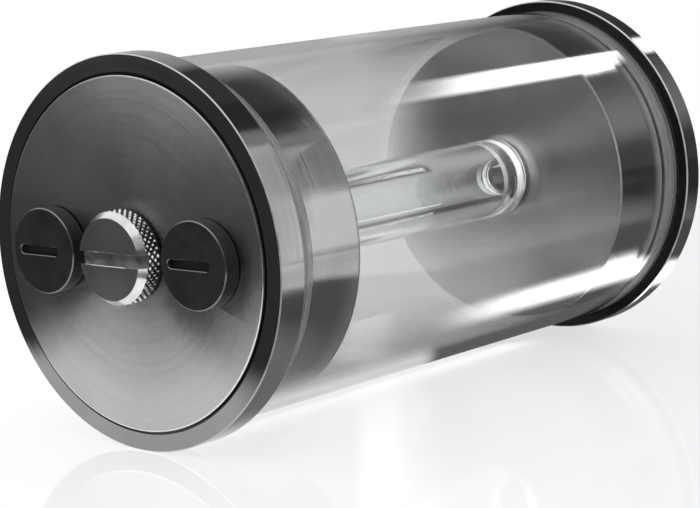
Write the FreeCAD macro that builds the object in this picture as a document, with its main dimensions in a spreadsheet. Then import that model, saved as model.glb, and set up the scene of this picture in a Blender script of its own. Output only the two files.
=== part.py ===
import FreeCAD, Part
import os
import math
import Sketcher

# Tube reservoir for water cooling, lying on its two round flanges with its axis along Y.
# The front cap with the three port plugs faces -Y, and the origin is on the axis, midway
# along the clear tube.

doc = FreeCAD.newDocument("tube_reservoir")
sheet = doc.addObject("Spreadsheet::Sheet", "Sizes")

# Driving dimensions, in millimetres
DIMENSIONS = [
    ("tube_outer_diameter", 70.0),
    ("tube_wall", 2.0),
    ("tube_length", 125.0),
    ("tube_thread_depth", 0.6),
    ("tube_thread_length", 4.4),
    ("flange_diameter", 74.5),
    ("flange_chamfer", 0.6),
    ("front_flange_thickness", 6.3),
    ("front_disc_diameter", 67.2),
    ("front_disc_height", 0.5),
    ("rear_flange_thickness", 4.7),
    ("cap_plug_length", 20.0),
    ("cap_plug_gap", 0.8),
    ("cap_plug_chamfer", 0.4),
    ("cap_groove_width", 2.3),
    ("cap_groove_depth", 1.1),
    ("thread_clearance", 0.05),
    ("thread_end_gap", 0.2),
    ("seal_clearance", 0.05),
    ("port_thread_diameter", 13.157),
    ("port_thread_length", 10.0),
    ("port_throat_diameter", 10.0),
    ("port_pitch", 19.7),
    ("pipe_outer_diameter", 17.0),
    ("pipe_bore_diameter", 8.0),
    ("pipe_thread_length", 9.0),
    ("pipe_end_gap", 0.5),
    ("pipe_end_radius", 1.2),
    ("plug_seal_section", 1.1),
    ("plug_lift", 0.25),
    ("plug_shank_length", 8.0),
    ("plug_tip_chamfer", 0.8),
    ("side_head_diameter", 16.4),
    ("side_head_height", 3.6),
    ("side_head_chamfer", 0.2),
    ("side_slot_length", 10.4),
    ("side_slot_width", 1.7),
    ("side_slot_depth", 1.3),
    ("side_slot_shift", 1.2),
    ("fill_head_diameter", 17.7),
    ("fill_head_height", 5.4),
    ("fill_face_diameter", 15.4),
    ("fill_bevel_height", 1.5),
    ("fill_collar_height", 1.1),
    ("fill_collar_step", 0.35),
    ("fill_slot_width", 2.4),
    ("fill_slot_depth", 1.9),
]

for row, (name, value) in enumerate(DIMENSIONS, start=1):
    sheet.set("A%d" % row, name)
    sheet.set("B%d" % row, str(value))
    sheet.setAlias("B%d" % row, name)
doc.recompute()


def bind(target, prop, formula):
    """Tie one property to a formula of sheet names, each written as a plain word."""
    words = []
    for word in formula.split():
        bare = word.strip("()")
        known = any(bare == name for name, value in DIMENSIONS)
        words.append(word.replace(bare, "Sizes." + bare) if known else word)
    target.setExpression(prop, " ".join(words))


def new_body(label):
    body = doc.addObject("PartDesign::Body", label)
    body.Label = label
    return body


def sketch_on(body, role, name):
    """An empty sketch on one of the body's own origin planes."""
    sketch = body.newObject("Sketcher::SketchObject", name)
    plane = [feature for feature in body.Origin.OriginFeatures if feature.Role == role][0]
    sketch.AttachmentSupport = [(plane, "")]
    sketch.MapMode = "FlatFace"
    return sketch


def dimension(sketch, kind, first, second, name, formula, start=1.0):
    """A driving sketch dimension whose value is a formula of sheet names."""
    index = sketch.addConstraint(Sketcher.Constraint(kind, *first, *second, start))
    sketch.renameConstraint(index, name)
    bind(sketch, "Constraints." + name, formula)


def turn(body, outline):
    """Turn a body about its Y axis from the (along, radius) formulas of its outline's corners."""
    sketch = sketch_on(body, "XY_Plane", body.Label + "_outline")
    count = len(outline)
    corners = []
    for index in range(count):
        angle = 2 * math.pi * index / count
        corners.append(FreeCAD.Vector(20 + 10 * math.cos(angle), 20 + 10 * math.sin(angle), 0))
    for index in range(count):
        line = Part.LineSegment(corners[index], corners[(index + 1) % count])
        sketch.addGeometry(line, False)
    for index in range(count):
        sketch.addConstraint(Sketcher.Constraint("Coincident", index, 2, (index + 1) % count, 1))
    for index, (along, radius) in enumerate(outline):
        if radius == "0":
            sketch.addConstraint(Sketcher.Constraint("PointOnObject", index, 1, -2))
        else:
            dimension(sketch, "DistanceX", (-1, 1), (index, 1), "radius_%d" % index, radius)
        if along == "0":
            sketch.addConstraint(Sketcher.Constraint("PointOnObject", index, 1, -1))
        else:
            dimension(sketch, "DistanceY", (-1, 1), (index, 1), "along_%d" % index, along)
    feature = body.newObject("PartDesign::Revolution", body.Label + "_turned")
    feature.Profile = sketch
    feature.ReferenceAxis = (sketch, ["V_Axis"])
    feature.Angle = 360.0
    doc.recompute()
    return feature


def pocket(body, sketch, name, depth=None):
    """Cut a sketch on the outer face inwards, to a depth or right through."""
    before = body.Shape.Volume
    cut = body.newObject("PartDesign::Pocket", name)
    cut.Profile = sketch
    if depth is None:
        cut.Type = "ThroughAll"
    else:
        cut.Type = "Length"
        bind(cut, "Length", depth)
    doc.recompute()
    if body.Shape.Volume >= before:
        raise RuntimeError(name + " cut nothing")
    return cut


def pair_of_circles(body, name, diameter):
    """Two equal circles either side of the axis, one port pitch out."""
    sketch = sketch_on(body, "XZ_Plane", name)
    for side in (1, -1):
        centre = FreeCAD.Vector(20 * side, 0, 0)
        sketch.addGeometry(Part.Circle(centre, FreeCAD.Vector(0, 0, 1), 5), False)
    sketch.addConstraint(Sketcher.Constraint("Equal", 0, 1))
    sketch.addConstraint(Sketcher.Constraint("PointOnObject", 0, 3, -1))
    sketch.addConstraint(Sketcher.Constraint("Symmetric", 0, 3, 1, 3, -1, 1))
    dimension(sketch, "DistanceX", (-1, 1), (0, 3), "pitch", "port_pitch")
    dimension(sketch, "Diameter", (0,), (), "bore", diameter)
    return sketch


def place(piece, along, across=None, facing_back=False):
    """Put a piece on the axis, or beside it, where its outer end stands in the assembly."""
    if facing_back:
        piece.Placement.Rotation = FreeCAD.Rotation(FreeCAD.Vector(0, 0, 1), 180)
    bind(piece, "Placement.Base.y", along)
    if across is not None:
        bind(piece, "Placement.Base.x", across)


# Radii that several pieces share, as formulas of the driving dimensions
TUBE_BORE = "tube_outer_diameter / 2 - tube_wall"
TUBE_THREAD = TUBE_BORE + " + tube_thread_depth"
CAP_SPIGOT = TUBE_THREAD + " - thread_clearance"
CAP_SPIGOT_LENGTH = "tube_thread_length - thread_end_gap"
CAP_PLUG = TUBE_BORE + " - cap_plug_gap"
CAP_GROOVE = CAP_PLUG + " - cap_groove_depth"
PORT_BORE = "port_thread_diameter / 2"
PORT_THROAT = "port_throat_diameter / 2"
PLUG_SHANK = PORT_BORE + " - thread_clearance"
SEAL_ROOM = "plug_seal_section + seal_clearance * 2"
PLUG_RECESS = PLUG_SHANK + " + " + SEAL_ROOM
FRONT_FACE = "tube_length / 2 + front_flange_thickness + front_disc_height"
REAR_FACE = "tube_length / 2 + rear_flange_thickness"


# Clear tube: a plain acrylic tube with a short threaded counterbore in each end
def make_tube():
    body = new_body("outer_tube")
    outer = "tube_outer_diameter / 2"
    far_thread = "tube_length - tube_thread_length"
    turn(body, [
        ("0", outer),
        ("tube_length", outer),
        ("tube_length", TUBE_THREAD),
        (far_thread, TUBE_THREAD),
        (far_thread, TUBE_BORE),
        ("tube_thread_length", TUBE_BORE),
        ("tube_thread_length", TUBE_THREAD),
        ("0", TUBE_THREAD),
    ])
    place(body, "0 - tube_length / 2")
    return body


# Cap inside the tube: threaded spigot, ring groove and long plug with a chamfered end
def cap_inside(seat):
    groove_start = seat + " + " + CAP_SPIGOT_LENGTH
    groove_end = groove_start + " + cap_groove_width"
    end = seat + " + cap_plug_length"
    return [
        (seat, "flange_diameter / 2 - flange_chamfer"),
        (seat, CAP_SPIGOT),
        (groove_start, CAP_SPIGOT),
        (groove_start, CAP_GROOVE),
        (groove_end, CAP_GROOVE),
        (groove_end, CAP_PLUG),
        (end + " - cap_plug_chamfer", CAP_PLUG),
        (end, CAP_PLUG + " - cap_plug_chamfer"),
    ]


# Front cap: flange with a raised turned disc and three ports in a level row
def make_front_cap():
    body = new_body("front_cap")
    rim = "front_disc_height"
    seat = "front_disc_height + front_flange_thickness"
    end = seat + " + cap_plug_length"
    pipe_floor = end + " - pipe_thread_length - thread_end_gap"
    turn(body, [
        ("0", PORT_BORE),
        ("0", "front_disc_diameter / 2 - front_disc_height"),
        (rim, "front_disc_diameter / 2"),
        (rim, "flange_diameter / 2 - flange_chamfer"),
        (rim + " + flange_chamfer", "flange_diameter / 2"),
        (seat + " - flange_chamfer", "flange_diameter / 2"),
    ] + cap_inside(seat) + [
        (end, PORT_BORE),
        (pipe_floor, PORT_BORE),
        (pipe_floor, PORT_THROAT),
        ("port_thread_length", PORT_THROAT),
        ("port_thread_length", PORT_BORE),
    ])
    mouths = pair_of_circles(body, "side_port_threads", "port_thread_diameter")
    pocket(body, mouths, "side_port_thread_bores", "port_thread_length")
    throats = pair_of_circles(body, "side_port_throats", "port_throat_diameter")
    pocket(body, throats, "side_port_throat_bores")
    place(body, "0 - (" + FRONT_FACE + ")")
    return body


# Rear cap: a thinner plain flange with one open port on the axis
def make_rear_cap():
    body = new_body("rear_cap")
    seat = "rear_flange_thickness"
    end = seat + " + cap_plug_length"
    turn(body, [
        ("0", PORT_BORE),
        ("0", "flange_diameter / 2 - flange_chamfer"),
        ("flange_chamfer", "flange_diameter / 2"),
        (seat + " - flange_chamfer", "flange_diameter / 2"),
    ] + cap_inside(seat) + [
        (end, PORT_THROAT),
        ("port_thread_length", PORT_THROAT),
        ("port_thread_length", PORT_BORE),
    ])
    place(body, REAR_FACE, facing_back=True)
    return body


# Ring seals: round-section rings in the cap grooves and under the plug heads
def make_ring(label, centre_radius, section_radius, along, across=None):
    ring = doc.addObject("Part::Torus", label)
    ring.Label = label
    bind(ring, "Radius1", centre_radius)
    bind(ring, "Radius2", section_radius)
    ring.Placement.Rotation = FreeCAD.Rotation(FreeCAD.Vector(1, 0, 0), 90)
    bind(ring, "Placement.Base.y", along)
    if across is not None:
        bind(ring, "Placement.Base.x", across)
    return ring


def make_cap_ring(label, side):
    middle = "( " + TUBE_BORE + " + " + CAP_GROOVE + " ) / 2"
    section = "( " + TUBE_BORE + " - ( " + CAP_GROOVE + " ) ) / 2 - seal_clearance"
    depth = CAP_SPIGOT_LENGTH + " + cap_groove_width / 2"
    along = side + " * ( tube_length / 2 - ( " + depth + " ) )"
    return make_ring(label, middle, section, along)


def make_plug_ring(label, across):
    middle = PLUG_SHANK + " + ( " + SEAL_ROOM + " ) / 2"
    along = "0 - ( " + FRONT_FACE + " + seal_clearance + plug_seal_section / 2 )"
    return make_ring(label, middle, "plug_seal_section / 2", along, across)


# Flow pipe: clear pipe screwed into the back of the middle port, open at its rounded end
def make_pipe():
    body = new_body("flow_pipe")
    bore = "pipe_bore_diameter / 2"
    free = "tube_length - cap_plug_length * 2 - pipe_end_gap"
    end = "pipe_thread_length + " + free
    turned = turn(body, [
        ("0", bore),
        ("0", PLUG_SHANK),
        ("pipe_thread_length", PLUG_SHANK),
        ("pipe_thread_length", "pipe_outer_diameter / 2"),
        (end, "pipe_outer_diameter / 2"),
        (end, bore),
    ])
    far = turned.Shape.BoundBox.YMax
    wide = turned.Shape.BoundBox.XMax
    rims = []
    for index, edge in enumerate(turned.Shape.Edges, start=1):
        box = edge.BoundBox
        if abs(box.YMin - far) < 0.001 and abs(box.YMax - far) < 0.001 and abs(box.XMax - wide) < 0.001:
            rims.append("Edge%d" % index)
    rounding = body.newObject("PartDesign::Fillet", "flow_pipe_rounded_end")
    rounding.Base = (turned, rims)
    bind(rounding, "Radius", "pipe_end_radius")
    place(body, "cap_plug_length - tube_length / 2 - pipe_thread_length")
    return body


# Plug below its head: seat rim, ring recess and threaded shank
def plug_inside(height, rim_radius):
    recess = height + " - ( " + SEAL_ROOM + " )"
    tip = height + " + plug_shank_length"
    return [
        (height + " - plug_lift", rim_radius),
        (height + " - plug_lift", PLUG_RECESS),
        (recess, PLUG_RECESS),
        (recess, PLUG_SHANK),
        (tip + " - plug_tip_chamfer", PLUG_SHANK),
        (tip, PLUG_SHANK + " - plug_tip_chamfer"),
        (tip, "0"),
    ]


# Side plug: a plain round head with a closed slot for a coin or driver
def make_side_plug(label, across):
    body = new_body(label)
    head = "side_head_diameter / 2"
    turn(body, [
        ("0", "0"),
        ("0", head + " - side_head_chamfer"),
        ("side_head_chamfer", head),
    ] + plug_inside("side_head_height", head))
    sketch = sketch_on(body, "XZ_Plane", label + "_slot_outline")
    radius = sheet.get("side_slot_width") / 2
    reach = sheet.get("side_slot_length") / 2 - radius
    shift = sheet.get("side_slot_shift")
    up = FreeCAD.Vector(0, 0, 1)
    right = FreeCAD.Vector(reach - shift, 0, 0)
    left = FreeCAD.Vector(-reach - shift, 0, 0)
    rise = FreeCAD.Vector(0, radius, 0)
    quarter = math.pi / 2
    sketch.addGeometry(Part.LineSegment(left + rise, right + rise), False)
    sketch.addGeometry(Part.ArcOfCircle(Part.Circle(right, up, radius), -quarter, quarter), False)
    sketch.addGeometry(Part.LineSegment(right - rise, left - rise), False)
    sketch.addGeometry(Part.ArcOfCircle(Part.Circle(left, up, radius), quarter, 3 * quarter), False)
    for joint in ((0, 2, 1, 2), (1, 1, 2, 1), (2, 2, 3, 2), (3, 1, 0, 1)):
        sketch.addConstraint(Sketcher.Constraint("Tangent", *joint))
    sketch.addConstraint(Sketcher.Constraint("Horizontal", 0))
    sketch.addConstraint(Sketcher.Constraint("PointOnObject", 1, 3, -1))
    half_run = "( side_slot_length - side_slot_width ) / 2"
    to_right = half_run + " - side_slot_shift"
    to_left = half_run + " + side_slot_shift"
    dimension(sketch, "Radius", (1,), (), "slot_end", "side_slot_width / 2", radius)
    dimension(sketch, "DistanceX", (-1, 1), (1, 3), "reach_right", to_right, reach - shift)
    dimension(sketch, "DistanceX", (3, 3), (-1, 1), "reach_left", to_left, reach + shift)
    pocket(body, sketch, label + "_slot", "side_slot_depth")
    place(body, "0 - ( " + FRONT_FACE + " + side_head_height )", across)
    return body


# Fill plug: a taller bevelled head with a grip band, a plain collar and a slot right across
def make_fill_plug():
    body = new_body("fill_plug")
    head = "fill_head_diameter / 2"
    collar = head + " - fill_collar_step"
    band_end = "fill_head_height - fill_collar_height"
    turn(body, [
        ("0", "0"),
        ("0", "fill_face_diameter / 2"),
        ("fill_bevel_height", head),
        (band_end, head),
        (band_end, collar),
    ] + plug_inside("fill_head_height", collar))
    sketch = sketch_on(body, "XZ_Plane", "fill_plug_slot_outline")
    corners = [FreeCAD.Vector(x, z, 0) for x, z in ((-10, -1), (10, -1), (10, 1), (-10, 1))]
    for index in range(4):
        sketch.addGeometry(Part.LineSegment(corners[index], corners[(index + 1) % 4]), False)
    for index in range(4):
        sketch.addConstraint(Sketcher.Constraint("Coincident", index, 2, (index + 1) % 4, 1))
    for index in (0, 2):
        sketch.addConstraint(Sketcher.Constraint("Horizontal", index))
    for index in (1, 3):
        sketch.addConstraint(Sketcher.Constraint("Vertical", index))
    sketch.addConstraint(Sketcher.Constraint("Symmetric", 0, 1, 2, 1, -1, 1))
    dimension(sketch, "DistanceX", (0, 1), (0, 2), "slot_run", "fill_head_diameter + fill_slot_width")
    dimension(sketch, "DistanceY", (1, 1), (1, 2), "slot_gap", "fill_slot_width")
    pocket(body, sketch, "fill_plug_slot", "fill_slot_depth")
    place(body, "0 - ( " + FRONT_FACE + " + fill_head_height )")
    return body


pieces = [
    make_tube(),
    make_front_cap(),
    make_cap_ring("front_cap_ring", "0 - 1"),
    make_rear_cap(),
    make_cap_ring("rear_cap_ring", "1"),
    make_pipe(),
    make_fill_plug(),
    make_plug_ring("fill_plug_ring", None),
]
for side, across in (("left", "0 - port_pitch"), ("right", "port_pitch")):
    pieces.append(make_side_plug(side + "_plug", across))
    pieces.append(make_plug_ring(side + "_plug_ring", across))
doc.recompute()

for item in doc.Objects:
    if "Invalid" in item.State or "Error" in item.State:
        raise RuntimeError(item.Label + " failed")
for piece in pieces:
    if piece.Shape.isNull() or not piece.Shape.isValid() or len(piece.Shape.Solids) != 1:
        raise RuntimeError(piece.Label + " is not one sound solid")

os.makedirs("parts", exist_ok=True)
for piece in pieces:
    piece.Shape.exportStep("parts/%s.step" % piece.Label)
    box = piece.Shape.BoundBox
    span = "x %.2f..%.2f y %.2f..%.2f z %.2f..%.2f" % (
        box.XMin, box.XMax, box.YMin, box.YMax, box.ZMin, box.ZMax)
    print("%-18s volume %9.1f  %s" % (piece.Label, piece.Shape.Volume, span))
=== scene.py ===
import math

import bmesh
import bpy
from mathutils import Matrix, Vector


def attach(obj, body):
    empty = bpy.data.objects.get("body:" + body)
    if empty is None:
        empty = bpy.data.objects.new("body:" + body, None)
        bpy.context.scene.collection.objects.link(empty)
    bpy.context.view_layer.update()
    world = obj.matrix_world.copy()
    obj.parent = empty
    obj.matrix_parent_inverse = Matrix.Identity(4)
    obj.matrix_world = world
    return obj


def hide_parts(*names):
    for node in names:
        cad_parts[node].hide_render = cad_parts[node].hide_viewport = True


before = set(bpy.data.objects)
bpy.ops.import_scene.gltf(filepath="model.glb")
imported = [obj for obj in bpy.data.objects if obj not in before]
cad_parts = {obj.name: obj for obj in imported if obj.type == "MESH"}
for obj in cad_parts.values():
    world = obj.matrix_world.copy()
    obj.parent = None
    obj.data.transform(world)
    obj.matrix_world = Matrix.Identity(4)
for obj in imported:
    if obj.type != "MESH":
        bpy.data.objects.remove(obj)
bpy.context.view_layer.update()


# Clear tube. A length of cast acrylic tube, polished inside and out, with a short
# right-handed thread cut into the bore at each end for the caps.
TUBE_RADIUS = 35.0
TUBE_BORE = 33.0
TUBE_END = 62.5
TUBE_BEVEL = 0.25
TUBE_SKIN = 0.4
TUBE_STEPS = 256
TUBE_THREAD_RADIUS = 33.6
TUBE_THREAD_LENGTH = 4.4
TUBE_THREAD_LEAD = 0.2
CAP_PITCH = 1.5
CAP_THREAD_DEPTH = 0.5
CAP_THREAD_ROWS = 26
ACRYLIC_IOR = 1.49
SHARP_ANGLE = math.radians(28)
MILLIMETRE = 0.001
NEAR = 0.01


class Finish:
    """A value in a finish's node tree: sums on it add Math nodes, and node() adds any other."""

    def __init__(self, tree, socket=None):
        self.tree = tree
        self.socket = socket

    def node(self, kind, settings, inputs, output=0):
        made = self.tree.nodes.new("ShaderNode" + kind)
        for name, value in settings.items():
            if name == "stops":
                ramp = made.color_ramp.elements
                while len(ramp) < len(value):
                    ramp.new(0.5)
                for stop, (place, shade) in zip(ramp, value):
                    stop.position = place
                    stop.color = (*shade, 1.0)
            else:
                setattr(made, name, value)
        for name, value in inputs.items():
            if isinstance(value, Finish):
                self.tree.links.new(value.socket, made.inputs[name])
            else:
                made.inputs[name].default_value = value
        return Finish(self.tree, made.outputs[output] if made.outputs else None)

    def math(self, operation, first, second=0.0):
        return self.node("Math", {"operation": operation}, {0: first, 1: second})

    def vector(self, operation, first, second=(0.0, 0.0, 0.0), output=0):
        return self.node("VectorMath", {"operation": operation}, {0: first, 1: second}, output)

    def scaled(self, amount):
        return self.node("VectorMath", {"operation": "SCALE"}, {0: self, "Scale": amount})

    def __add__(self, other):
        return self.math("ADD", self, other)

    __radd__ = __add__

    def __sub__(self, other):
        return self.math("SUBTRACT", self, other)

    def __rsub__(self, other):
        return self.math("SUBTRACT", other, self)

    def __mul__(self, other):
        return self.math("MULTIPLY", self, other)

    __rmul__ = __mul__

    def between(self, low, high, to_low=0.0, to_high=1.0):
        """Ease from one level to another as the value goes from low to high."""
        limits = {"Value": self, "From Min": low, "From Max": high, "To Min": to_low, "To Max": to_high}
        return self.node("MapRange", {"interpolation_type": "SMOOTHSTEP"}, limits)

    def span(self, rise, full, fade, end):
        """1 from full to fade, easing to 0 at rise and at end."""
        return self.between(rise, full) - self.between(fade, end)


def new_material(name):
    material = bpy.data.materials.new(name)
    material.use_nodes = True
    material.node_tree.nodes.clear()
    return material, Finish(material.node_tree)


def shade(finish, **inputs):
    """End a finish in a Principled shader; socket names are written with underscores."""
    sockets = {name.replace("_", " "): value for name, value in inputs.items()}
    shader = finish.node("BsdfPrincipled", {}, sockets)
    finish.node("OutputMaterial", {}, {"Surface": shader})


def clear_acrylic(name, pale, deep, wipe_strength, clear=1.0):
    """Polished acrylic, with faint waves drawn along its axis and dull smears where it was wiped."""
    material, finish = new_material(name)
    place = finish.node("TexCoord", {}, {}, "Object")
    drawn = finish.vector("MULTIPLY", place, (900.0, 25.0, 900.0))
    waves = finish.node("TexNoise", {}, {"Vector": drawn, "Scale": 0.12, "Detail": 2.0}, "Fac")
    smears = finish.node("TexNoise", {}, {"Vector": place, "Scale": 70.0, "Detail": 4.0}, "Fac")
    rough = smears.between(0.45, 0.75, 0.005, wipe_strength)
    tint = finish.node("ValToRGB", {"stops": [(0.35, deep), (0.65, pale)]}, {"Fac": waves})
    ripple = finish.node("Bump", {}, {"Strength": 0.02, "Distance": 0.0004, "Height": waves})
    shade(finish, Base_Color=tint, Roughness=rough, Normal=ripple, IOR=ACRYLIC_IOR, Transmission_Weight=clear)
    return material


def frosted_acrylic(name, tone, clear):
    """Acrylic left matt by the cutting tool: cloudy, with part of its light scattered back."""
    material, finish = new_material(name)
    place = finish.node("TexCoord", {}, {}, "Object")
    chatter = finish.node("TexNoise", {}, {"Vector": place, "Scale": 900.0, "Detail": 3.0}, "Fac")
    dull = tuple(part * 0.85 for part in tone)
    colour = finish.node("ValToRGB", {"stops": [(0.3, dull), (0.7, tone)]}, {"Fac": chatter})
    rough = chatter.between(0.3, 0.7, 0.35, 0.55)
    shade(finish, Base_Color=colour, Roughness=rough, IOR=ACRYLIC_IOR, Transmission_Weight=clear)
    return material


def ring_rows(start, end, count, radius):
    """Evenly spaced points along a straight run of an outline."""
    step = (end - start) / count
    return [(start + step * index, radius) for index in range(count + 1)]


def turned(outline, steps):
    """A solid turned about the Y axis from the (along, radius) corners of its outline, in mm."""
    mesh = bmesh.new()
    corners = [mesh.verts.new((radius, along, 0.0)) for along, radius in outline]
    solid_core = outline[0][1] == 0.0 and outline[-1][1] == 0.0
    after = corners[1:] if solid_core else corners[1:] + corners[:1]
    rail = [mesh.edges.new(pair) for pair in zip(corners, after)]
    bmesh.ops.spin(mesh, geom=corners + rail, cent=(0, 0, 0), axis=(0, 1, 0), dvec=(0, 0, 0),
                   angle=2 * math.pi, steps=steps, use_merge=True)
    bmesh.ops.remove_doubles(mesh, verts=mesh.verts, dist=1e-5)
    bmesh.ops.recalc_face_normals(mesh, faces=mesh.faces)
    return mesh


def off_axis(point):
    return math.hypot(point.x, point.z)


def cut_thread(mesh, start, end, radius, pitch, depth):
    """Cut a right-handed V thread into a turned wall; a negative depth cuts inwards from outside."""
    for vert in mesh.verts:
        along = vert.co.y
        if start < along < end and abs(off_axis(vert.co) - radius) < NEAR:
            turn = (along / pitch - math.atan2(vert.co.x, vert.co.z) / (2 * math.pi)) % 1.0
            run_in = min(1.0, (along - start) / (0.5 * pitch), (end - along) / (0.5 * pitch))
            reach = radius + depth * run_in * (1.0 - abs(2.0 * turn - 1.0))
            vert.co.x *= reach / radius
            vert.co.z *= reach / radius


def piece_from(mesh, name, materials, body, slot, *nodes):
    """Make the mesh, in mm, a piece that rides on a body and stands for its nodes."""
    bmesh.ops.scale(mesh, vec=(MILLIMETRE, MILLIMETRE, MILLIMETRE), verts=mesh.verts)
    data = bpy.data.meshes.new(name)
    mesh.to_mesh(data)
    mesh.free()
    data.shade_smooth()
    data.set_sharp_from_angle(angle=SHARP_ANGLE)
    for material in materials:
        data.materials.append(material)
    piece = bpy.data.objects.new(name, data)
    bpy.context.scene.collection.objects.link(piece)
    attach(piece, body)
    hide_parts(*nodes)
    return piece


tube_acrylic = clear_acrylic("polished_tube_acrylic", (0.80, 0.81, 0.805), (0.77, 0.78, 0.775),
                             wipe_strength=0.03)
cut_acrylic = frosted_acrylic("cut_tube_acrylic", (0.96, 0.97, 0.97), clear=0.5)
tube_finishes = [tube_acrylic, cut_acrylic]
thread_start = TUBE_END - TUBE_THREAD_LENGTH
thread_end = TUBE_END - TUBE_THREAD_LEAD
tube_outline = [
    (-TUBE_END, TUBE_THREAD_RADIUS + TUBE_THREAD_LEAD),
    (-TUBE_END, TUBE_RADIUS - TUBE_BEVEL),
    (-TUBE_END + TUBE_BEVEL, TUBE_RADIUS),
    (TUBE_END - TUBE_BEVEL, TUBE_RADIUS),
    (TUBE_END, TUBE_RADIUS - TUBE_BEVEL),
    (TUBE_END, TUBE_THREAD_RADIUS + TUBE_THREAD_LEAD),
    *ring_rows(thread_end, thread_start, CAP_THREAD_ROWS, TUBE_THREAD_RADIUS),
    (thread_start, TUBE_BORE),
    (-thread_start, TUBE_BORE),
    *ring_rows(-thread_start, -thread_end, CAP_THREAD_ROWS, TUBE_THREAD_RADIUS),
]
tube_mesh = turned(tube_outline, TUBE_STEPS)
for start, end in ((-thread_end, -thread_start), (thread_start, thread_end)):
    cut_thread(tube_mesh, start, end, TUBE_THREAD_RADIUS, CAP_PITCH, CAP_THREAD_DEPTH)
for polygon in tube_mesh.faces:
    middle = polygon.calc_center_median()
    if abs(middle.y) > thread_start and off_axis(middle) < TUBE_RADIUS - TUBE_SKIN:
        polygon.material_index = tube_finishes.index(cut_acrylic)
piece_from(tube_mesh, "clear_tube", tube_finishes, "tube", "clear_acrylic", "outer_tube")


# Caps. Each is turned from aluminium bar and anodised dark grey: a flange, a threaded
# spigot that screws into the tube, a groove for its ring and a long plug in the bore. The
# front one has three ports in a raised disc, with a fine relief groove round its foot.
FLANGE_RADIUS = 37.247
FLANGE_CHAMFER = 0.2
SEAT_CHAMFER = 0.25
SPIGOT_RADIUS = 33.55
SPIGOT_LENGTH = 4.2
SPIGOT_LEAD = 0.3
GROOVE_WIDTH = 2.3
GROOVE_RADIUS = 31.1
GROOVE_CHAMFER = 0.15
PLUG_RADIUS = 32.2
PLUG_LENGTH = 20.0
PLUG_CHAMFER = 0.4
PLUG_LEAD = 0.7
PLUG_LEAD_DROP = 0.12
PLUG_LEAD_EDGE = 0.05
PLUG_TIP = 0.1
PORT_RADIUS = 6.5785
PORT_LENGTH = 10.0
PORT_LEAD = 0.5
PORT_PITCH = 1.337
PORT_THREAD_DEPTH = 0.45
PORT_THREAD_ROWS = 56
PORT_STEPS = 64
THROAT_RADIUS = 5.0
PIPE_SOCKET = 9.2
DRILL_OVERRUN = 5.0
FRONT_FACE = 69.3
FRONT_RIM = 68.8
REAR_FACE = 67.2
SIDE_PORT = 19.7
DISC_RADIUS = 33.3
DISC_EDGE = 33.0
DISC_CHAMFER = 0.15
RELIEF_START = 33.5
RELIEF_END = 33.8
RELIEF_DEPTH = 0.25
RELIEF_CHAMFER = 0.08
BRUSHED_SCATTER = 0.24
BRUSHED_RINGS = 1500.0
TURNED_RINGS = 90.0
FLUSH = 0.001


def turned_metal(name, dark, light, roughness, scatter, rings_per_mm):
    """Lathe-turned metal: each fine ring round the axis tips the surface its own small way."""
    material, finish = new_material(name)
    place = finish.node("TexCoord", {}, {}, "Object")
    centred = place.scaled(1.0 / MILLIMETRE)
    flat = finish.vector("MULTIPLY", centred, (1.0, 0.0, 1.0))
    radius = finish.vector("LENGTH", flat, output="Value")
    along = finish.vector("DOT_PRODUCT", centred, (0.0, 1.0, 0.0), "Value")
    ring = finish.math("FLOOR", (radius + along) * rings_per_mm)
    tip = finish.node("TexWhiteNoise", {"noise_dimensions": "1D"}, {"W": ring}, "Value") - 0.5
    broad = finish.node("TexNoise", {"noise_dimensions": "1D"},
                        {"W": (radius + along) * 0.9, "Scale": 1.0, "Detail": 3.0}, "Fac") - 0.5
    around = finish.vector("NORMALIZE", finish.vector("CROSS_PRODUCT", (0.0, 1.0, 0.0), flat))
    around = finish.node("VectorTransform", {"vector_type": "VECTOR", "convert_from": "OBJECT",
                                             "convert_to": "WORLD"}, {"Vector": around})
    surface = finish.node("NewGeometry", {}, {}, "Normal")
    across = finish.vector("CROSS_PRODUCT", surface, around)
    tilt = across.scaled(tip * (2.0 * scatter))
    normal = finish.vector("NORMALIZE", finish.vector("ADD", surface, tilt))
    cloud = finish.node("TexNoise", {}, {"Vector": place, "Scale": 60.0, "Detail": 3.0}, "Fac")
    tone = (broad * 0.3 + cloud).between(0.25, 0.75)
    colour = finish.node("ValToRGB", {"stops": [(0.0, dark), (1.0, light)]}, {"Fac": tone})
    rough = cloud.between(0.3, 0.7, roughness * 0.85, roughness * 1.15)
    shade(finish, Base_Color=colour, Metallic=1.0, Roughness=rough, Normal=normal)
    return material


def bright_metal(name, tone, roughness):
    """Bare or plated metal with a bright cut surface, faintly clouded."""
    material, finish = new_material(name)
    place = finish.node("TexCoord", {}, {}, "Object")
    cloud = finish.node("TexNoise", {}, {"Vector": place, "Scale": 400.0, "Detail": 4.0}, "Fac")
    dull = tuple(part * 0.8 for part in tone)
    colour = finish.node("ValToRGB", {"stops": [(0.3, dull), (0.7, tone)]}, {"Fac": cloud})
    rough = cloud.between(0.3, 0.7, roughness * 0.7, roughness * 1.3)
    shade(finish, Base_Color=colour, Metallic=1.0, Roughness=rough)
    return material


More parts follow.
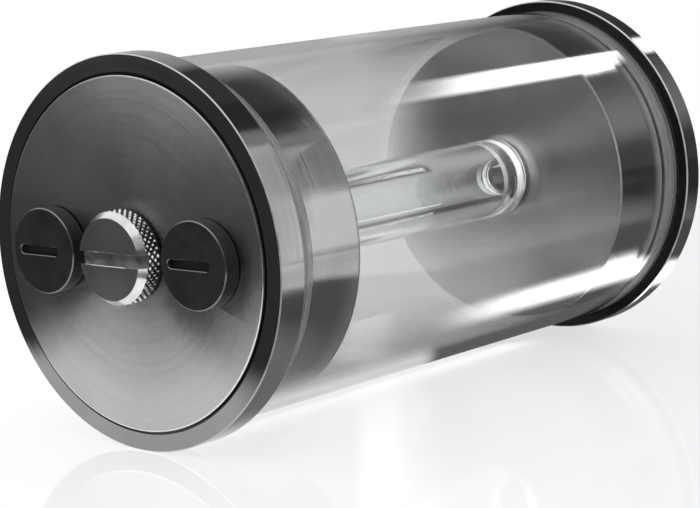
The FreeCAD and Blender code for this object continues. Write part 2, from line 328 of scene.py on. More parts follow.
def cap_inside(seat, side):
    """A cap's outline inside the tube, from the flange's seat to the plug's chamfered end."""
    def at(depth):
        return seat - side * depth

    groove_end = SPIGOT_LENGTH + GROOVE_WIDTH
    return [
        (seat, FLANGE_RADIUS - SEAT_CHAMFER),
        (seat, TUBE_RADIUS),
        (seat, SPIGOT_RADIUS - SPIGOT_LEAD),
        *ring_rows(at(SPIGOT_LEAD), at(SPIGOT_LENGTH), CAP_THREAD_ROWS, SPIGOT_RADIUS),
        (at(SPIGOT_LENGTH), GROOVE_RADIUS),
        (at(groove_end), GROOVE_RADIUS),
        (at(groove_end), PLUG_RADIUS - GROOVE_CHAMFER),
        (at(groove_end + GROOVE_CHAMFER), PLUG_RADIUS),
        (at(PLUG_LENGTH - PLUG_LEAD - PLUG_LEAD_EDGE), PLUG_RADIUS),
        (at(PLUG_LENGTH - PLUG_LEAD), PLUG_RADIUS),
        (at(PLUG_LENGTH - PLUG_TIP), PLUG_RADIUS - PLUG_LEAD_DROP),
        (at(PLUG_LENGTH), PLUG_RADIUS - PLUG_CHAMFER),
    ]


def drilled(mesh, cutters):
    """The mesh with each cutter's shape taken out of it."""
    for cutter in cutters:
        pair = []
        for shape in (mesh, cutter):
            data = bpy.data.meshes.new("blank")
            shape.to_mesh(data)
            shape.free()
            pair.append(bpy.data.objects.new("blank", data))
            bpy.context.scene.collection.objects.link(pair[-1])
        cut = pair[0].modifiers.new("cut", "BOOLEAN")
        cut.operation = "DIFFERENCE"
        cut.solver = "EXACT"
        cut.object = pair[1]
        graph = bpy.context.evaluated_depsgraph_get()
        result = bpy.data.meshes.new_from_object(pair[0].evaluated_get(graph))
        mesh = bmesh.new()
        mesh.from_mesh(result)
        bmesh.ops.dissolve_degenerate(mesh, dist=FLUSH, edges=mesh.edges)
        bpy.data.meshes.remove(result)
        for blank in pair:
            data = blank.data
            bpy.data.objects.remove(blank)
            bpy.data.meshes.remove(data)
    return mesh


def moved(mesh, across):
    bmesh.ops.translate(mesh, vec=(across, 0, 0), verts=mesh.verts)
    return mesh


face_metal = turned_metal("turned_face_aluminium", (0.50, 0.50, 0.49), (0.57, 0.57, 0.56),
                          roughness=0.2, scatter=BRUSHED_SCATTER, rings_per_mm=BRUSHED_RINGS)
rim_metal = turned_metal("polished_rim_aluminium", (0.32, 0.32, 0.315), (0.37, 0.37, 0.365),
                         roughness=0.07, scatter=0.03, rings_per_mm=TURNED_RINGS)
plug_metal = turned_metal("turned_plug_aluminium", (0.53, 0.53, 0.525), (0.61, 0.61, 0.605),
                          roughness=0.12, scatter=0.05, rings_per_mm=TURNED_RINGS)
end_metal = turned_metal("turned_end_aluminium", (0.72, 0.72, 0.71), (0.80, 0.80, 0.79),
                         roughness=0.2, scatter=BRUSHED_SCATTER, rings_per_mm=BRUSHED_RINGS)
# Painted shadow: a near-black copy of the cap's aluminium for the fine relief groove round the foot of the
# raised disc.
relief_shadow_metal = turned_metal("relief_painted_shadow_aluminium", (0.06, 0.06, 0.06), (0.075, 0.075, 0.075),
                          roughness=0.3, scatter=0.03, rings_per_mm=TURNED_RINGS)
# Painted shade: a near-black copy of the turned face aluminium for the flange's seat, where the end of the
# tube meets it.
seat_shade_metal = turned_metal("turned_seat_aluminium_painted_shade", (0.05, 0.05, 0.05), (0.065, 0.065, 0.065),
                          roughness=0.25, scatter=BRUSHED_SCATTER, rings_per_mm=BRUSHED_RINGS)
edge_metal = bright_metal("cut_edge_aluminium", (0.85, 0.85, 0.84), roughness=0.5)
disc_edge_metal = bright_metal("polished_edge_aluminium", (0.85, 0.85, 0.84), roughness=0.15)
cap_metals = [
    face_metal, rim_metal, plug_metal, relief_shadow_metal, end_metal, edge_metal, seat_shade_metal, disc_edge_metal,
]


def cap_finishes(mesh):
    """Give each face of a cap its metal, by where it lies and which way it points."""
    plug_end = TUBE_END - PLUG_LENGTH
    lead_middle = plug_end + (PLUG_LEAD + PLUG_TIP) / 2
    for polygon in mesh.faces:
        middle = polygon.calc_center_median()
        radius = off_axis(middle)
        along = abs(middle.y)
        facing = abs(polygon.normal.y)
        front_seat_side = -TUBE_END - SEAT_CHAMFER < middle.y < 0.0
        on_corner = radius > FLANGE_RADIUS - FLANGE_CHAMFER and 0.3 < facing < 0.9 and not front_seat_side
        on_lead = abs(along - lead_middle) < NEAR and radius > PLUG_RADIUS - PLUG_LEAD_DROP
        on_disc_edge = DISC_EDGE < radius < DISC_RADIUS and middle.y < -FRONT_RIM
        at_disc_foot = DISC_RADIUS < radius < RELIEF_END + RELIEF_CHAMFER
        # Painted shadow: the relief groove at the disc's foot takes the near-black relief metal.
        in_relief_shadow = at_disc_foot and middle.y < -FRONT_RIM + RELIEF_DEPTH + NEAR
        # Painted shade: the flange's seat round the tube's end takes the near-black seat metal.
        on_shaded_seat = abs(along - TUBE_END) < NEAR and radius > TUBE_RADIUS
        on_end = facing > 0.9 and along < plug_end + PLUG_TIP
        metal = face_metal
        if on_lead or on_corner:
            metal = edge_metal
        elif on_disc_edge:
            metal = disc_edge_metal
        elif in_relief_shadow:
            metal = relief_shadow_metal
        elif on_shaded_seat:
            metal = seat_shade_metal
        elif along < TUBE_END:
            metal = end_metal if on_end else plug_metal
        elif radius > DISC_EDGE:
            metal = rim_metal
        polygon.material_index = cap_metals.index(metal)


front_end = -TUBE_END + PLUG_LENGTH
port_floor = -FRONT_FACE + PORT_LENGTH
front_outline = [
    (-FRONT_FACE, PORT_RADIUS),
    (-FRONT_FACE, DISC_EDGE),
    (-FRONT_FACE + DISC_CHAMFER, DISC_RADIUS),
    (-FRONT_RIM + RELIEF_DEPTH, RELIEF_START),
    (-FRONT_RIM + RELIEF_DEPTH, RELIEF_END),
    (-FRONT_RIM, RELIEF_END + RELIEF_CHAMFER),
    (-FRONT_RIM, FLANGE_RADIUS - FLANGE_CHAMFER),
    (-FRONT_RIM + FLANGE_CHAMFER, FLANGE_RADIUS),
    (-TUBE_END - SEAT_CHAMFER, FLANGE_RADIUS),
    *cap_inside(-TUBE_END, -1),
    (front_end, PORT_RADIUS),
    (front_end - PIPE_SOCKET, PORT_RADIUS),
    (front_end - PIPE_SOCKET, THROAT_RADIUS),
    (port_floor, THROAT_RADIUS),
    (port_floor, PORT_RADIUS),
]
front_mesh = turned(front_outline, TUBE_STEPS)
cut_thread(front_mesh, -TUBE_END + SPIGOT_LEAD, -TUBE_END + SPIGOT_LENGTH, SPIGOT_RADIUS,
           CAP_PITCH, -CAP_THREAD_DEPTH)
port_outline = [
    (-FRONT_FACE - DRILL_OVERRUN, 0.0),
    (-FRONT_FACE - DRILL_OVERRUN, PORT_RADIUS),
    (port_floor, PORT_RADIUS),
    (port_floor, THROAT_RADIUS),
    (front_end + DRILL_OVERRUN, THROAT_RADIUS),
    (front_end + DRILL_OVERRUN, 0.0),
]
side_ports = [moved(turned(port_outline, PORT_STEPS), across) for across in (-SIDE_PORT, SIDE_PORT)]
front_mesh = drilled(front_mesh, side_ports)
cap_finishes(front_mesh)
front_cap = piece_from(front_mesh, "front_end_cap", cap_metals, "front_cap", "anodised_cap", "front_cap")

outlet_end = REAR_FACE - PORT_LENGTH
outlet_lead = REAR_FACE - PORT_LEAD
rear_outline = [
    (REAR_FACE, PORT_RADIUS + PORT_LEAD),
    (REAR_FACE, FLANGE_RADIUS - FLANGE_CHAMFER),
    (REAR_FACE - FLANGE_CHAMFER, FLANGE_RADIUS),
    (TUBE_END + SEAT_CHAMFER, FLANGE_RADIUS),
    *cap_inside(TUBE_END, 1),
    (TUBE_END - PLUG_LENGTH, THROAT_RADIUS),
    (outlet_end, THROAT_RADIUS),
    *ring_rows(outlet_end, outlet_lead, PORT_THREAD_ROWS, PORT_RADIUS),
]
rear_mesh = turned(rear_outline, TUBE_STEPS)
cut_thread(rear_mesh, TUBE_END - SPIGOT_LENGTH, TUBE_END - SPIGOT_LEAD, SPIGOT_RADIUS,
           CAP_PITCH, -CAP_THREAD_DEPTH)
cut_thread(rear_mesh, outlet_end, outlet_lead, PORT_RADIUS, PORT_PITCH, PORT_THREAD_DEPTH)
cap_finishes(rear_mesh)
rear_cap = piece_from(rear_mesh, "rear_end_cap", cap_metals, "rear_cap", "anodised_cap", "rear_cap")


# Cap rings. Two grey silicone rings, moulded round and squeezed between each cap's
# groove and the bore of the tube.
def moulded_rubber(name, tone, roughness):
    """Rubber with a pale bloom and the fine grain of its mould."""
    material, finish = new_material(name)
    place = finish.node("TexCoord", {}, {}, "Object")
    bloom = finish.node("TexNoise", {}, {"Vector": place, "Scale": 180.0, "Detail": 5.0}, "Fac")
    grain = finish.node("TexNoise", {}, {"Vector": place, "Scale": 2500.0, "Detail": 2.0}, "Fac")
    pale = tuple(min(1.0, part * 1.35 + 0.01) for part in tone)
    colour = finish.node("ValToRGB", {"stops": [(0.35, tone), (0.75, pale)]}, {"Fac": bloom})
    skin = finish.node("Bump", {}, {"Strength": 0.2, "Distance": 0.0001, "Height": grain})
    rough = bloom.between(0.3, 0.7, roughness - 0.08, roughness + 0.08)
    shade(finish, Base_Color=colour, Roughness=rough, Normal=skin, Specular_IOR_Level=0.4)
    return material


def refinish(node, material):
    """Give a node that keeps its own mesh a finish of the scene's."""
    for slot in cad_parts[node].material_slots:
        slot.material = material


ring_silicone = moulded_rubber("grey_ring_silicone", (0.5, 0.51, 0.51), roughness=0.4)
for node in ("front_cap_ring", "rear_cap_ring"):
    refinish(node, ring_silicone)


# Flow pipe. A clear acrylic pipe, turned down where it screws into the back of the middle
# port. Its open end is rounded over, countersunk and tapped, and the drill has left a
# frosted ring behind the tapped length.
PIPE_RADIUS = 8.5
PIPE_BORE = 4.0
PIPE_START = -51.5
PIPE_SHOULDER = -42.5
PIPE_END = 42.0
PIPE_FIT = 0.05
PIPE_ROUNDING = 1.2
PIPE_ROUNDING_STEPS = 8
PIPE_SINK = 1.0
PIPE_RING = 1.5
PIPE_TAP_LENGTH = 4.5
PIPE_TAP_PITCH = 1.0
PIPE_TAP_DEPTH = 0.15
PIPE_TAP_ROWS = 28
PIPE_STEPS = 128
PIPE_CLEAR = 0.985

pipe_acrylic = clear_acrylic("polished_pipe_acrylic", (0.91, 0.92, 0.915), (0.88, 0.89, 0.885),
                             wipe_strength=0.03, clear=PIPE_CLEAR)
bored_acrylic = clear_acrylic("bored_pipe_acrylic", (0.93, 0.94, 0.935), (0.91, 0.92, 0.915),
                              wipe_strength=0.12, clear=PIPE_CLEAR)
lip_acrylic = frosted_acrylic("cut_lip_acrylic", (0.99, 0.995, 0.99), clear=0.2)
ring_acrylic = frosted_acrylic("cut_ring_acrylic", (0.97, 0.975, 0.97), clear=0.6)
pipe_finishes = [pipe_acrylic, bored_acrylic, lip_acrylic, ring_acrylic]
pipe_lip = []
for index in range(PIPE_ROUNDING_STEPS + 1):
    angle = math.pi / 2 * index / PIPE_ROUNDING_STEPS
    pipe_lip.append((PIPE_END - PIPE_ROUNDING * (1 - math.sin(angle)),
                     PIPE_RADIUS - PIPE_ROUNDING * (1 - math.cos(angle))))
tap_start = PIPE_END - PIPE_SINK
tap_end = PIPE_END - PIPE_TAP_LENGTH
pipe_outline = [
    (PIPE_START, PIPE_BORE),
    (PIPE_START, PORT_RADIUS - PIPE_FIT),
    (PIPE_SHOULDER, PORT_RADIUS - PIPE_FIT),
    (PIPE_SHOULDER, PIPE_RADIUS),
    *pipe_lip,
    (PIPE_END, PIPE_BORE + PIPE_SINK),
    *ring_rows(tap_start, tap_end, PIPE_TAP_ROWS, PIPE_BORE),
    (tap_end - PIPE_RING, PIPE_BORE),
]
pipe_mesh = turned(pipe_outline, PIPE_STEPS)
cut_thread(pipe_mesh, tap_end, tap_start, PIPE_BORE, PIPE_TAP_PITCH, PIPE_TAP_DEPTH)
for polygon in pipe_mesh.faces:
    middle = polygon.calc_center_median()
    in_bore = off_axis(middle) < PIPE_BORE + PIPE_TAP_DEPTH
    acrylic = pipe_acrylic
    if middle.y > PIPE_END - PIPE_ROUNDING and 0.05 < abs(polygon.normal.y) < 0.99:
        acrylic = lip_acrylic
    elif in_bore and tap_end - PIPE_RING < middle.y < tap_end:
        acrylic = ring_acrylic
    elif in_bore:
        acrylic = bored_acrylic
    polygon.material_index = pipe_finishes.index(acrylic)
flow_pipe = piece_from(pipe_mesh, "clear_flow_pipe", pipe_finishes, "front_cap", "clear_acrylic",
                       "flow_pipe")


# Side plugs. Two brass plugs, turned and plated matte black, screwed into the outer
# ports; the edge of the head is cut bright, and a coin slot is milled in the face.
SIDE_HEAD_RADIUS = 8.2
SIDE_HEAD_HEIGHT = 3.6
SIDE_CHAMFER = 0.2
SLOT_LENGTH = 10.4
SLOT_WIDTH = 1.7
SLOT_DEPTH = 1.3
SLOT_SHIFT = -1.2
SLOT_EASE = 0.12
SLOT_CORNER = 1.2
CUTTER_LENGTH = 8.0
CUTTER_STEPS = 48
PLUG_LIFT = 0.25
PLUG_STEPS = 128
PLUG_SHANK = 6.5285
RING_ROOM = 1.2
SHANK_LENGTH = 8.0
SHANK_CHAMFER = 0.8
SHANK_ROWS = 52


def plated_black(name, deep, pale):
    """Matte black plate, faintly clouded over a fine blasted grain."""
    material, finish = new_material(name)
    place = finish.node("TexCoord", {}, {}, "Object")
    speck = finish.node("TexNoise", {}, {"Vector": place, "Scale": 1400.0, "Detail": 3.0}, "Fac")
    cloud = finish.node("TexNoise", {}, {"Vector": place, "Scale": 220.0, "Detail": 4.0}, "Fac")
    colour = finish.node("ValToRGB", {"stops": [(0.3, deep), (0.7, pale)]}, {"Fac": cloud})
    skin = finish.node("Bump", {}, {"Strength": 0.15, "Distance": 0.0001, "Height": speck})
    rough = speck.between(0.3, 0.7, 0.36, 0.48)
    shade(finish, Base_Color=colour, Roughness=rough, Normal=skin, Specular_IOR_Level=0.25)
    return material


def plug_inside(rim):
    """A plug's outline below its head: seat rim, ring recess and shank, back to the axis."""
    seat = -FRONT_FACE
    recess = seat - RING_ROOM
    tip = seat + SHANK_LENGTH
    return [
        (seat - PLUG_LIFT, rim),
        (seat - PLUG_LIFT, PLUG_SHANK + RING_ROOM),
        (recess, PLUG_SHANK + RING_ROOM),
        *ring_rows(recess, tip - SHANK_CHAMFER, SHANK_ROWS, PLUG_SHANK),
        (tip, PLUG_SHANK - SHANK_CHAMFER),
        (tip, 0.0),
    ]


def cut_shank(mesh):
    start = -FRONT_FACE - RING_ROOM
    end = -FRONT_FACE + SHANK_LENGTH - SHANK_CHAMFER
    cut_thread(mesh, start, end, PLUG_SHANK, PORT_PITCH, -PORT_THREAD_DEPTH)
    return mesh


def slot_cutter(face):
    """A bar with round ends that mills the closed slot."""
    mesh = bmesh.new()
    bmesh.ops.create_cone(mesh, cap_ends=True, segments=CUTTER_STEPS, radius1=SLOT_WIDTH / 2,
                          radius2=SLOT_WIDTH / 2, depth=CUTTER_LENGTH)
    bmesh.ops.rotate(mesh, cent=(0, 0, 0), matrix=Matrix.Rotation(math.pi / 2, 3, "X"), verts=mesh.verts)
    reach = (SLOT_LENGTH - SLOT_WIDTH) / 2
    for side in (-1, 1):
        end = [vert for vert in mesh.verts if vert.co.x * side > NEAR]
        bmesh.ops.translate(mesh, vec=(reach * side, 0, 0), verts=end)
    depth = face + SLOT_DEPTH - CUTTER_LENGTH / 2
    bmesh.ops.translate(mesh, vec=(SLOT_SHIFT, depth, 0), verts=mesh.verts)
    return mesh


def ease_edges(mesh, face, face_radius, width):
    """Break the sharp edge where a slot meets the face, and return the new narrow faces."""
    rim = []
    for edge in mesh.edges:
        on_face = all(abs(vert.co.y - face) < FLUSH for vert in edge.verts)
        inside = all(off_axis(vert.co) < face_radius - NEAR for vert in edge.verts)
        if on_face and inside and len(edge.link_faces) == 2 and edge.calc_face_angle() > SLOT_CORNER:
            rim.append(edge)
    eased = bmesh.ops.bevel(mesh, geom=rim, offset=width, offset_type="OFFSET", segments=1, profile=0.5,
                            affect="EDGES", material=-1)
    return eased["faces"]


black_plate = plated_black("matte_black_plate", (0.017, 0.017, 0.018), (0.032, 0.032, 0.033))
cut_edge = bright_metal("burnished_edge", (0.3, 0.3, 0.3), roughness=0.3)
side_finishes = [black_plate, cut_edge]
side_face = -FRONT_FACE - SIDE_HEAD_HEIGHT
side_face_radius = SIDE_HEAD_RADIUS - SIDE_CHAMFER
side_outline = [
    (side_face, 0.0),
    (side_face, side_face_radius),
    (side_face + SIDE_CHAMFER, SIDE_HEAD_RADIUS),
    *plug_inside(SIDE_HEAD_RADIUS),
]
for side, across in (("left", -SIDE_PORT), ("right", SIDE_PORT)):
    plug_mesh = drilled(cut_shank(turned(side_outline, PLUG_STEPS)), [slot_cutter(side_face)])
    for polygon in plug_mesh.faces:
        middle = polygon.calc_center_median()
        at_chamfer = side_face + NEAR < middle.y < side_face + SIDE_CHAMFER
        if at_chamfer and off_axis(middle) > side_face_radius:
            polygon.material_index = side_finishes.index(cut_edge)
    for polygon in ease_edges(plug_mesh, side_face, side_face_radius, SLOT_EASE):
        polygon.material_index = side_finishes.index(cut_edge)
    piece_from(moved(plug_mesh, across), side + "_port_plug", side_finishes, side + "_plug", "plug_black",
               side + "_plug")


# Fill plug. A taller plated plug on the axis, undone by hand: a flat slotted face with a
# polished bevel round it, a diamond-knurled grip band and a plain collar.
FILL_FACE_RADIUS = 7.7
FILL_HEAD_RADIUS = 8.85
FILL_HEAD_HEIGHT = 5.4
FILL_BEVEL = 1.5
FILL_BEVEL_EDGE = 0.15
FILL_BEVEL_DROP = 0.12
FILL_COLLAR = 1.1
FILL_COLLAR_RADIUS = 8.5
FILL_SLOT_WIDTH = 2.4
FILL_SLOT_DEPTH = 1.9
FILL_SLOT_EASE = 0.1
FILL_CUTTER_LENGTH = 30.0
KNURLS = 40
KNURL_ROWS = 4
KNURL_DEPTH = 0.42
KNURL_INSIDE = 8.2


def knurl_finish_with_painted_shade(name, deep, bright):
    """Plated metal polished on the points of a knurl, with painted shade that darkens it down into the cuts.
    """
    material, finish = new_material(name)
    place = finish.node("TexCoord", {}, {}, "Object")
    flat = finish.vector("MULTIPLY", place, (1.0 / MILLIMETRE, 0.0, 1.0 / MILLIMETRE))
    radius = finish.vector("LENGTH", flat, output="Value")
    shade_until = FILL_HEAD_RADIUS - 0.85 * KNURL_DEPTH
    bright_from = FILL_HEAD_RADIUS - 0.3 * KNURL_DEPTH
    # Painted shade: the colour goes from bright on the knurl's points to near black in its cuts.
    tone = radius.between(shade_until, bright_from)
    colour = finish.node("ValToRGB", {"stops": [(0.0, deep), (1.0, bright)]}, {"Fac": tone})
    shade(finish, Base_Color=colour, Metallic=1.0, Roughness=tone.between(0.0, 1.0, 0.4, 0.15))
    return material


fill_metal = turned_metal("turned_dark_nickel", (0.34, 0.34, 0.345), (0.42, 0.42, 0.425),
                          roughness=0.4, scatter=0.12, rings_per_mm=BRUSHED_RINGS)
fill_bright = bright_metal("polished_nickel", (0.93, 0.93, 0.93), roughness=0.12)
slot_metal = bright_metal("milled_slot_nickel", (0.6, 0.6, 0.6), roughness=0.35)
# The grip band's knurl, with painted shade in its cuts.
knurl_painted_shade_metal = knurl_finish_with_painted_shade("knurled_nickel_painted_shade", (0.03, 0.03, 0.03), (0.95, 0.95, 0.95))
fill_finishes = [fill_metal, fill_bright, slot_metal, knurl_painted_shade_metal, black_plate]
fill_face = -FRONT_FACE - FILL_HEAD_HEIGHT
band_start = fill_face + FILL_BEVEL
band_end = -FRONT_FACE - FILL_COLLAR
fill_outline = [
    (fill_face, 0.0),
    (fill_face, FILL_FACE_RADIUS),
    (band_start - FILL_BEVEL_EDGE, FILL_HEAD_RADIUS - FILL_BEVEL_DROP),
    *ring_rows(band_start, band_end, KNURL_ROWS, FILL_HEAD_RADIUS),
    (band_end, FILL_COLLAR_RADIUS),
    *plug_inside(FILL_COLLAR_RADIUS),
]
fill_mesh = cut_shank(turned(fill_outline, 2 * KNURLS))
band = {}
row_height = (band_end - band_start) / KNURL_ROWS
for vert in fill_mesh.verts:
    if off_axis(vert.co) > FILL_HEAD_RADIUS - NEAR:
        row = round((vert.co.y - band_start) / row_height)
        column = round(math.atan2(vert.co.x, vert.co.z) / math.pi * KNURLS)
        band[vert] = (row + column) % 2
for quad in [face for face in fill_mesh.faces if all(vert in band for vert in face.verts)]:
    low = [vert for vert in quad.verts if band[vert] == 0]
    bmesh.utils.face_split(quad, low[0], low[1])
for vert, high in band.items():
    reach = 1.0 if high else 1.0 - KNURL_DEPTH / FILL_HEAD_RADIUS
    vert.co.x *= reach
    vert.co.z *= reach
bar = bmesh.new()
bmesh.ops.create_cube(bar, size=1.0)
bmesh.ops.scale(bar, vec=(FILL_CUTTER_LENGTH, 2 * FILL_SLOT_DEPTH, FILL_SLOT_WIDTH), verts=bar.verts)
bmesh.ops.translate(bar, vec=(0, fill_face, 0), verts=bar.verts)
fill_mesh = drilled(fill_mesh, [bar])
slot_floor = fill_face + FILL_SLOT_DEPTH
for polygon in fill_mesh.faces:
    middle = polygon.calc_center_median()
    reach = off_axis(middle)
    upright = abs(polygon.normal.z) > 0.999
    sloped = -0.95 < polygon.normal.y < -0.2
    metal = fill_metal
    if sloped and middle.y < band_start and reach > FILL_FACE_RADIUS - NEAR:
        metal = fill_bright
    elif upright and fill_face < middle.y < slot_floor:
        metal = fill_bright
    elif abs(middle.y - slot_floor) < FLUSH:
        metal = slot_metal
    elif band_start < middle.y < band_end and reach > KNURL_INSIDE and not upright:
        metal = knurl_painted_shade_metal
    # The collar behind the knurl takes the side plugs' matte black, darker than the nickel round it.
    elif band_end - NEAR < middle.y < -FRONT_FACE and reach > PLUG_SHANK:
        metal = black_plate
    polygon.material_index = fill_finishes.index(metal)
for polygon in ease_edges(fill_mesh, fill_face, FILL_FACE_RADIUS, FILL_SLOT_EASE):
    polygon.material_index = fill_finishes.index(fill_bright)
piece_from(fill_mesh, "knurled_fill_plug", fill_finishes, "fill_plug", "plug_chrome", "fill_plug")


# Plug rings. Three small black rubber rings, moulded round, squeezed under the heads of
# the plugs when they are screwed home.
plug_rubber = moulded_rubber("black_plug_rubber", (0.018, 0.018, 0.018), roughness=0.5)
for node in ("fill_plug_ring", "left_plug_ring", "right_plug_ring"):
    refinish(node, plug_rubber)


# Floor and light. A white glossy table in a white tent. Grey and black panels give the
# metal its bands, a white card stands on each side, a softbox hangs behind, and one lamp
# lights the flow pipe alone.
FLOOR = -0.03725
FLOOR_REACH = 6.0
FRONT_FOOT = 0.069
PANEL_GREY = 0.06
# Glow of the painted streak of light on the table.
STREAK_GLOW = 7.0
DARK_SPOTS = ((0.195, 0.142, 0.035), (0.063, 0.004, 0.022))
TENT_RADIUS = 1.1
BOX_WIDTH = 0.125
BOX_LENGTH = 0.245
BOX_PLACE = (BOX_WIDTH / 2, 0.5375, 0.40)
BOX_GLOW = 10.0
BOX_EDGE_GLOW = 2.2
LAMP_SIZE = 0.2
LAMP_POWER = 9.0
LAMP_PLACE = Vector((0.30, -0.25, 0.45))
AXES = {"x": (1.0, 0.0, 0.0), "y": (0.0, 1.0, 0.0), "z": (0.0, 0.0, 1.0)}


def split(finish, place, letters):
    return [finish.vector("DOT_PRODUCT", place, AXES[letter], "Value") for letter in letters]


def most(finish, first, *others):
    """The largest of several values."""
    for other in others:
        first = finish.math("MAXIMUM", first, other)
    return first


def light_path(finish, output):
    return finish.node("LightPath", {}, {}, output)


def in_view(finish):
    """1 on a ray from the camera, a mirror or a clear piece, 0 on scattered light."""
    kinds = ("Camera", "Glossy", "Transmission")
    return most(finish, *[light_path(finish, "Is %s Ray" % kind) for kind in kinds])


def mirrored(finish):
    """1 on light that has met a mirror or a polished wall on its way, else 0."""
    return finish.math("MINIMUM", light_path(finish, "Glossy Depth"), 1.0)


def tent_white(finish):
    """White where it is seen, and a little less as light on the object."""
    return in_view(finish) * 0.1 + 0.9


def grey(finish, level):
    return finish.node("CombineColor", {}, {0: level, 1: level, 2: level})


def glow(finish, level):
    return finish.node("Emission", {}, {"Color": grey(finish, level), "Strength": 1.0})


def stage_piece(name, mesh, material):
    data = bpy.data.meshes.new(name)
    mesh.to_mesh(data)
    mesh.free()
    data.materials.append(material)
    piece = bpy.data.objects.new(name, data)
    bpy.context.scene.collection.objects.link(piece)
    return piece


def studio_card(name, mesh, material):
    """A card or softbox that only mirrors and clear pieces see."""
    card = stage_piece(name, mesh, material)
    card.visible_camera = False
    card.visible_diffuse = False
    card.visible_shadow = False
    material.cycles.emission_sampling = "NONE"


def card_paint(finish, level, cover):
    """A card's glow, there only for mirrored light."""
    gap = finish.node("BsdfTransparent", {}, {})
    card = finish.node("MixShader", {}, {0: mirrored(finish) * cover, 1: gap, 2: glow(finish, level)})
    finish.node("OutputMaterial", {}, {"Surface": card})


floor_paint, finish = new_material("white_table_gloss")
place = finish.node("TexCoord", {}, {}, "Object")
smears = finish.node("TexNoise", {}, {"Vector": place, "Scale": 6.0, "Detail": 3.0}, "Fac")
table = finish.node("BsdfPrincipled", {}, {
    "Base Color": (0.36, 0.36, 0.36, 1.0),
    "Roughness": smears.between(0.3, 0.7, 0.05, 0.07),
    "Emission Color": grey(finish, in_view(finish) * 0.67),
    "Emission Strength": 1.0,
})
far = finish.vector("LENGTH", place, output="Value").between(0.2, 0.4)
seen = finish.node("MixShader", {}, {0: far, 1: table, 2: glow(finish, tent_white(finish))})

# Dark panels lie on the table round the object, with a painted shadow of the tube along its right side among
# them, and one painted streak of light: only mirrored light meets them.
x, y = split(finish, place, "xy")
turn = finish.math("ARCTAN2", x * -1.0, y * -1.0 - FRONT_FOOT) * math.degrees(1.0)
reach = finish.math("SQRT", x * x + (y + FRONT_FOOT) * (y + FRONT_FOOT))
start = reach + turn.between(5.0, 35.0, 0.025, 0.0) - turn.span(45.0, 60.0, 74.0, 82.0) * 0.04
ahead = turn.span(-16.0, -6.0, 100.0, 110.0) * start.between(0.05, 0.08)
lens_side = turn.span(-90.0, -75.0, -16.0, -6.0) * reach.between(0.11, 0.16)
behind = x.between(0.03, 0.05) * (y - x.between(0.12, 0.24) * 0.15).between(-0.02, 0.19)
near_edge = x + y.between(0.0, 0.02) * 0.02
under_front = 1.0 - y.between(0.01, 0.035)
# Painted shadow of the tube on the table along its right side, deeper towards the back.
under = near_edge.between(0.012, 0.022) - (x * (1.0 - under_front * 0.35)).between(0.055, 0.08)
under = under * (y.between(-0.08, -0.06) * 0.65 + y.between(-0.045, -0.02) * 0.25)
beside = x.span(0.034, 0.042, 0.1, 0.13) * y.span(-0.12, -0.1, -0.076, -0.068) * 0.85
left = x.span(-0.09, -0.075, -0.03, -0.015) * y.span(-0.075, -0.055, -0.04, -0.025)
spots = 0.0
for spot_x, spot_y, spot_size in DARK_SPOTS:
    off = finish.vector("DISTANCE", place, (spot_x, spot_y, FLOOR), "Value")
    spots = spots + (1.0 - off.between(0.25 * spot_size, spot_size)) * 0.85
# Painted light: a bright streak on the table under the right side of the object's rear end, seen after one
# mirror only.
streak = x.span(0.022, 0.028, 0.030, 0.036) * y.span(0.0, 0.05, 0.085, 0.1)
streak = streak * finish.math("LESS_THAN", light_path(finish, "Glossy Depth"), 1.5)
cover = most(finish, ahead, lens_side, behind, under, spots, beside, left, streak) * mirrored(finish)
panel = glow(finish, streak * STREAK_GLOW + PANEL_GREY)
finish.node("OutputMaterial", {}, {"Surface": finish.node("MixShader", {}, {0: cover, 1: seen, 2: panel})})
floor_mesh = bmesh.new()
bmesh.ops.create_grid(floor_mesh, x_segments=1, y_segments=1, size=FLOOR_REACH)
bmesh.ops.translate(floor_mesh, vec=(0, 0, FLOOR), verts=floor_mesh.verts)
stage_piece("floor", floor_mesh, floor_paint)

world = bpy.data.worlds.new("white_tent")
bpy.context.scene.world = world
world.use_nodes = True
world.node_tree.nodes.clear()
tent = Finish(world.node_tree)
sky = tent.node("Background", {}, {"Color": (1.0, 1.0, 1.0, 1.0), "Strength": tent_white(tent)})
tent.node("OutputWorld", {}, {"Surface": sky})

# The tent's panels are set out by height above the table and by turn round the object, in degrees.
dome_paint, finish = new_material("tent_panels")
direction = finish.vector("NORMALIZE", finish.node("TexCoord", {}, {}, "Object"))
x, y, z = split(finish, direction, "xyz")
height = finish.math("ARCSINE", z) * math.degrees(1.0)
turn = finish.math("ARCTAN2", x * -1.0, y * -1.0) * math.degrees(1.0)
lens_side = turn.span(-90.0, -75.0, -20.0, -5.0)
front_left = turn.span(-20.0, -5.0, 100.0, 112.0)
back_left = turn.between(105.0, 118.0)
back_right = 1.0 - turn.between(-105.0, -95.0)
lens_tone = (height - turn.between(-56.0, -46.0, 0.0, 22.0)).between(10.0, 30.0, 0.1, 1.0)
front_tone = height.between(11.0, 32.0, 0.13, 0.9)
left_tone = turn.between(141.0, 150.0, 0.5, 0.08) + height.between(50.0, 75.0, 0.0, 0.45)
low_tone = height.between(6.0, 17.0, 0.1, 0.37) - height.between(20.0, 34.0, 0.0, 0.2)
right_tone = low_tone - height.between(39.0, 43.0, 0.0, 0.12) + height.between(55.0, 75.0, 0.0, 0.5)
front_shade = lens_side * (1.0 - lens_tone) + front_left * (1.0 - front_tone)
back_shade = back_left * (1.0 - left_tone) + back_right * (1.0 - right_tone)
card_paint(finish, 1.0 - front_shade - back_shade, 1.0)
dome = bmesh.new()
bmesh.ops.create_uvsphere(dome, u_segments=48, v_segments=24, radius=TENT_RADIUS)
